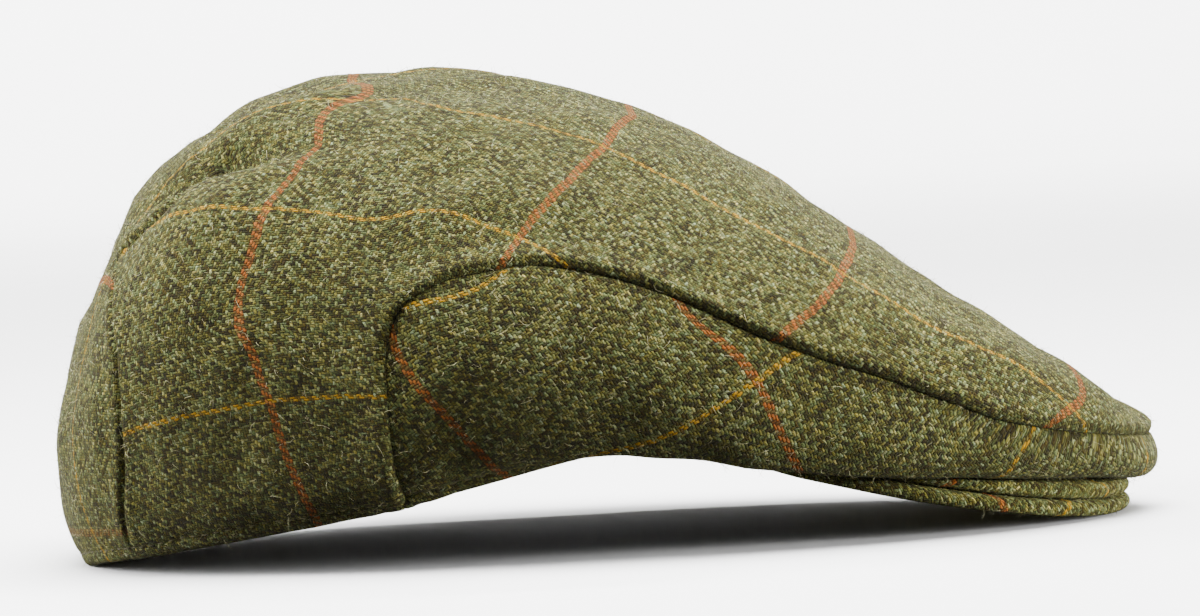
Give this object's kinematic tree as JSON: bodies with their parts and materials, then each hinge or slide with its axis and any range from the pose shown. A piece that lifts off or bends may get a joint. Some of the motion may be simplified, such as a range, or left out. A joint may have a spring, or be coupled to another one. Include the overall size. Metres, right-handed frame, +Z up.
{
  "type": "tweed flat cap",
  "caption": "Soft flat cap sewn from tweed panels: domed one-piece top with back darts, tapering front side panels and a short curved peak under its front edge.",
  "frame": {"origin": "centre of the footprint, on the floor that the cap rests on", "axes": "+X to the front, towards the peak; +Y to the wearer's left; +Z up; the cap stands at rest on its back hem and on its peak"},
  "size_m": [0.275, 0.1912, 0.1189],
  "materials": {
    "tweed_top": "woolly 2/2 twill tweed in mixed greens and browns with a fine orange and yellow check",
    "tweed_side": "the same tweed, cut across",
    "tweed_peak": "the same tweed over the peak"
  },
  "bodies": {
    "root": {"crown_top": "tweed_top", "side_gusset_right": "tweed_side", "side_gusset_left": "tweed_side", "peak_top": "tweed_peak", "peak_under": "tweed_peak"}
  },
  "joints": []
}
